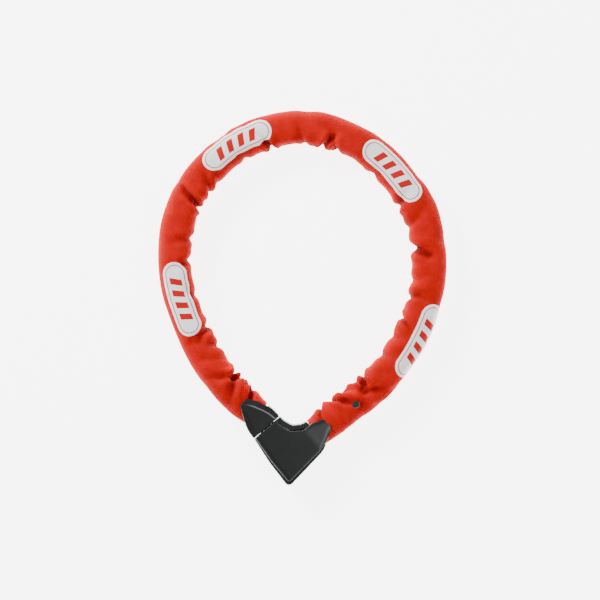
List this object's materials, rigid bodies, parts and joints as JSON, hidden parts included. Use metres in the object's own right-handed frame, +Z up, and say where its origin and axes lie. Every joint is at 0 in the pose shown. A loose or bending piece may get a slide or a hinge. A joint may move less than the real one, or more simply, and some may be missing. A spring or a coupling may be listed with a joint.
{
  "type": "chain lock",
  "caption": "Closed chain loop in a woven sleeve, joined by an elbow-shaped lock body with a removable plug and a keyed cylinder.",
  "frame": {"origin": "on the surface that the lock lies on, under the middle of its outline", "axes": "+Z up, out of the loop's plane; -Y towards the elbow of the lock; the fixed arm is on the +X side"},
  "size_m": [0.2881, 0.3738, 0.0316],
  "materials": {
    "sleeve_fabric": "woven, matte",
    "link_steel": "zinc plated, satin",
    "cover_plastic": "fine grain, satin",
    "plug_plastic": "fine grain, satin",
    "case_steel": "satin",
    "pin_steel": "ground, bright",
    "cylinder_brass": "machined",
    "rotor_steel": "machined",
    "bezel_plastic": "satin",
    "seal_rubber": "matte",
    "screw_steel": "blackened",
    "rivet_metal": "dark, glossy"
  },
  "bodies": {
    "lock_body": {"front_cover": "cover_plastic", "rear_cover": "cover_plastic", "lock_case": "case_steel", "cylinder_housing": "cylinder_brass", "anchor_pin": "pin_steel", "keyhole_bezel": "bezel_plastic", "cover_screw_1": "screw_steel", "cover_screw_2": "screw_steel", "cover_screw_3": "screw_steel"},
    "cylinder": {"cylinder_rotor": "rotor_steel", "bolt_cam": "rotor_steel"},
    "bolt": {"locking_bolt": "pin_steel"},
    "shutter": {"keyhole_shutter": "bezel_plastic"},
    "chain_01": {"link_01": "link_steel", "sleeve_01": "sleeve_fabric"},
    "chain_02": {"link_02": "link_steel"},
    "chain_03": {"link_03": "link_steel", "sleeve_02": "sleeve_fabric", "sleeve_rivet": "rivet_metal"},
    "chain_04": {"link_04": "link_steel"},
    "chain_05": {"link_05": "link_steel", "sleeve_03": "sleeve_fabric"},
    "chain_06": {"link_06": "link_steel"},
    "chain_07": {"link_07": "link_steel", "sleeve_04": "sleeve_fabric"},
    "chain_08": {"link_08": "link_steel"},
    "chain_09": {"link_09": "link_steel", "sleeve_05": "sleeve_fabric"},
    "chain_10": {"link_10": "link_steel"},
    "chain_11": {"link_11": "link_steel", "sleeve_06": "sleeve_fabric"},
    "chain_12": {"link_12": "link_steel"},
    "chain_13": {"link_13": "link_steel", "sleeve_07": "sleeve_fabric"},
    "chain_14": {"link_14": "link_steel"},
    "chain_15": {"link_15": "link_steel", "sleeve_08": "sleeve_fabric"},
    "chain_16": {"link_16": "link_steel"},
    "chain_17": {"link_17": "link_steel", "sleeve_09": "sleeve_fabric"},
    "chain_18": {"link_18": "link_steel"},
    "chain_19": {"link_19": "link_steel", "sleeve_10": "sleeve_fabric"},
    "chain_20": {"link_20": "link_steel"},
    "chain_21": {"link_21": "link_steel", "sleeve_11": "sleeve_fabric"},
    "chain_22": {"link_22": "link_steel"},
    "chain_23": {"link_23": "link_steel", "sleeve_12": "sleeve_fabric"},
    "chain_24": {"link_24": "link_steel"},
    "chain_25": {"link_25": "link_steel", "sleeve_13": "sleeve_fabric"},
    "plug": {"plug_front_cover": "plug_plastic", "plug_rear_cover": "plug_plastic", "plug_core": "case_steel", "locking_pin": "pin_steel", "plug_anchor_pin": "pin_steel", "pin_seal": "seal_rubber"}
  },
  "joints": [
    {"name": "plug_slide", "type": "slide", "parent": "lock_body", "child": "plug", "axis": [-0.6561, 0.7547, 0], "range_m": [0, 0.04]},
    {"name": "link_01_turn", "type": "hinge", "parent": "lock_body", "child": "chain_01", "pos_m": [0.01629, -0.13344, 0.015], "axis": [0, 0, 1], "range_deg": [-0.02, 1.09]},
    {"name": "link_02_turn", "type": "hinge", "parent": "chain_01", "child": "chain_02", "pos_m": [0.03421, -0.1188, 0.015], "axis": [0, 0, 1], "range_deg": [-0.02, 0.875]},
    {"name": "link_03_turn", "type": "hinge", "parent": "chain_02", "child": "chain_03", "pos_m": [0.06729, -0.09385, 0.015], "axis": [0, 0, 1], "range_deg": [-0.02, 0.72]},
    {"name": "link_04_turn", "type": "hinge", "parent": "chain_03", "child": "chain_04", "pos_m": [0.08335, -0.07718, 0.015], "axis": [0, 0, 1], "range_deg": [-0.72, 0.02]},
    {"name": "link_05_turn", "type": "hinge", "parent": "chain_04", "child": "chain_05", "pos_m": [0.10671, -0.04296, 0.015], "axis": [0, 0, 1], "range_deg": [-0.72, 0.02]},
    {"name": "link_06_turn", "type": "hinge", "parent": "chain_05", "child": "chain_06", "pos_m": [0.11654, -0.02201, 0.015], "axis": [0, 0, 1], "range_deg": [-0.72, 0.02]},
    {"name": "link_07_turn", "type": "hinge", "parent": "chain_06", "child": "chain_07", "pos_m": [0.12679, 0.01813, 0.015], "axis": [0, 0, 1], "range_deg": [-0.72, 0.02]},
    {"name": "link_08_turn", "type": "hinge", "parent": "chain_07", "child": "chain_08", "pos_m": [0.12761, 0.04126, 0.015], "axis": [0, 0, 1], "range_deg": [-0.875, 0.02]},
    {"name": "link_09_turn", "type": "hinge", "parent": "chain_08", "child": "chain_09", "pos_m": [0.11984, 0.08196, 0.015], "axis": [0, 0, 1], "range_deg": [-1.11, 0.02]},
    {"name": "link_10_turn", "type": "hinge", "parent": "chain_09", "child": "chain_10", "pos_m": [0.10923, 0.10252, 0.015], "axis": [0, 0, 1], "range_deg": [-1.2, 0.02]},
    {"name": "link_11_turn", "type": "hinge", "parent": "chain_10", "child": "chain_11", "pos_m": [0.08288, 0.1345, 0.015], "axis": [0, 0, 1], "range_deg": [-1.27, 0.02]},
    {"name": "link_12_turn", "type": "hinge", "parent": "chain_11", "child": "chain_12", "pos_m": [0.0652, 0.14942, 0.015], "axis": [0, 0, 1], "range_deg": [-1.28, 0.02]},
    {"name": "link_25_turn", "type": "hinge", "parent": "plug", "child": "chain_25", "pos_m": [-0.04685, -0.11506, 0.015], "axis": [0, 0, 1], "range_deg": [-1.32, 0.02]},
    {"name": "link_24_turn", "type": "hinge", "parent": "chain_25", "child": "chain_24", "pos_m": [-0.0643, -0.09986, 0.015], "axis": [0, 0, 1], "range_deg": [-1.32, 0.02]},
    {"name": "link_23_turn", "type": "hinge", "parent": "chain_24", "child": "chain_23", "pos_m": [-0.09092, -0.0681, 0.015], "axis": [0, 0, 1], "range_deg": [-1.26, 0.02]},
    {"name": "link_22_turn", "type": "hinge", "parent": "chain_23", "child": "chain_22", "pos_m": [-0.10256, -0.04811, 0.015], "axis": [0, 0, 1], "range_deg": [-1.18, 0.02]},
    {"name": "link_21_turn", "type": "hinge", "parent": "chain_22", "child": "chain_21", "pos_m": [-0.11896, -0.01005, 0.015], "axis": [0, 0, 1], "range_deg": [-0.99, 0.02]},
    {"name": "link_20_turn", "type": "hinge", "parent": "chain_21", "child": "chain_20", "pos_m": [-0.12524, 0.01221, 0.015], "axis": [0, 0, 1], "range_deg": [-0.853, 0.02]},
    {"name": "link_19_turn", "type": "hinge", "parent": "chain_20", "child": "chain_19", "pos_m": [-0.12754, 0.05359, 0.015], "axis": [0, 0, 1], "range_deg": [-0.72, 0.02]},
    {"name": "link_18_turn", "type": "hinge", "parent": "chain_19", "child": "chain_18", "pos_m": [-0.12377, 0.07642, 0.015], "axis": [0, 0, 1], "range_deg": [-0.72, 0.02]},
    {"name": "link_17_turn", "type": "hinge", "parent": "chain_18", "child": "chain_17", "pos_m": [-0.10609, 0.11389, 0.015], "axis": [0, 0, 1], "range_deg": [-0.72, 0.02]},
    {"name": "link_16_turn", "type": "hinge", "parent": "chain_17", "child": "chain_16", "pos_m": [-0.09106, 0.13148, 0.015], "axis": [0, 0, 1], "range_deg": [-0.72, 0.02]},
    {"name": "link_15_turn", "type": "hinge", "parent": "chain_16", "child": "chain_15", "pos_m": [-0.05792, 0.15636, 0.015], "axis": [0, 0, 1], "range_deg": [-0.02, 0.72]},
    {"name": "link_14_turn", "type": "hinge", "parent": "chain_15", "child": "chain_14", "pos_m": [-0.03649, 0.16507, 0.015], "axis": [0, 0, 1], "range_deg": [-0.02, 0.842]},
    {"name": "link_13_turn", "type": "hinge", "parent": "chain_14", "child": "chain_13", "pos_m": [0.0046, 0.17042, 0.015], "axis": [0, 0, 1], "range_deg": [-0.02, 1.1]},
    {"name": "key_turn", "type": "hinge", "parent": "lock_body", "child": "cylinder", "pos_m": [-0.00845, -0.15985, 0.015], "axis": [0.6561, -0.7547, 0], "range_deg": [0, 90]},
    {"name": "bolt_slide", "type": "slide", "parent": "lock_body", "child": "bolt", "axis": [-0.7547, -0.6561, 0], "range_m": [0, 0.0028]},
    {"name": "shutter_slide", "type": "slide", "parent": "lock_body", "child": "shutter", "axis": [0.7547, 0.6561, 0], "range_m": [0, 0.0095]}
  ],
  "couplings": [
    {"joint": "link_01_turn", "follows": "plug_slide", "rad_per_m": 0.4677},
    {"joint": "link_02_turn", "follows": "plug_slide", "rad_per_m": 0.373},
    {"joint": "link_03_turn", "follows": "plug_slide", "rad_per_m": 0.3054},
    {"joint": "link_04_turn", "follows": "plug_slide", "rad_per_m": -0.3054},
    {"joint": "link_05_turn", "follows": "plug_slide", "rad_per_m": -0.3054},
    {"joint": "link_06_turn", "follows": "plug_slide", "rad_per_m": -0.3054},
    {"joint": "link_07_turn", "follows": "plug_slide", "rad_per_m": -0.3054},
    {"joint": "link_08_turn", "follows": "plug_slide", "rad_per_m": -0.3732},
    {"joint": "link_09_turn", "follows": "plug_slide", "rad_per_m": -0.4777},
    {"joint": "link_10_turn", "follows": "plug_slide", "rad_per_m": -0.514},
    {"joint": "link_11_turn", "follows": "plug_slide", "rad_per_m": -0.5475},
    {"joint": "link_12_turn", "follows": "plug_slide", "rad_per_m": -0.5511},
    {"joint": "link_25_turn", "follows": "plug_slide", "rad_per_m": -0.5693},
    {"joint": "link_24_turn", "follows": "plug_slide", "rad_per_m": -0.5695},
    {"joint": "link_23_turn", "follows": "plug_slide", "rad_per_m": -0.5395},
    {"joint": "link_22_turn", "follows": "plug_slide", "rad_per_m": -0.5051},
    {"joint": "link_21_turn", "follows": "plug_slide", "rad_per_m": -0.4217},
    {"joint": "link_20_turn", "follows": "plug_slide", "rad_per_m": -0.3634},
    {"joint": "link_19_turn", "follows": "plug_slide", "rad_per_m": -0.3054},
    {"joint": "link_18_turn", "follows": "plug_slide", "rad_per_m": -0.3054},
    {"joint": "link_17_turn", "follows": "plug_slide", "rad_per_m": -0.3054},
    {"joint": "link_16_turn", "follows": "plug_slide", "rad_per_m": -0.3054},
    {"joint": "link_15_turn", "follows": "plug_slide", "rad_per_m": 0.3054},
    {"joint": "link_14_turn", "follows": "plug_slide", "rad_per_m": 0.3588},
    {"joint": "link_13_turn", "follows": "plug_slide", "rad_per_m": 0.4729},
    {"joint": "bolt_slide", "follows": "key_turn", "m_per_rad": 0.0017824}
  ]
}
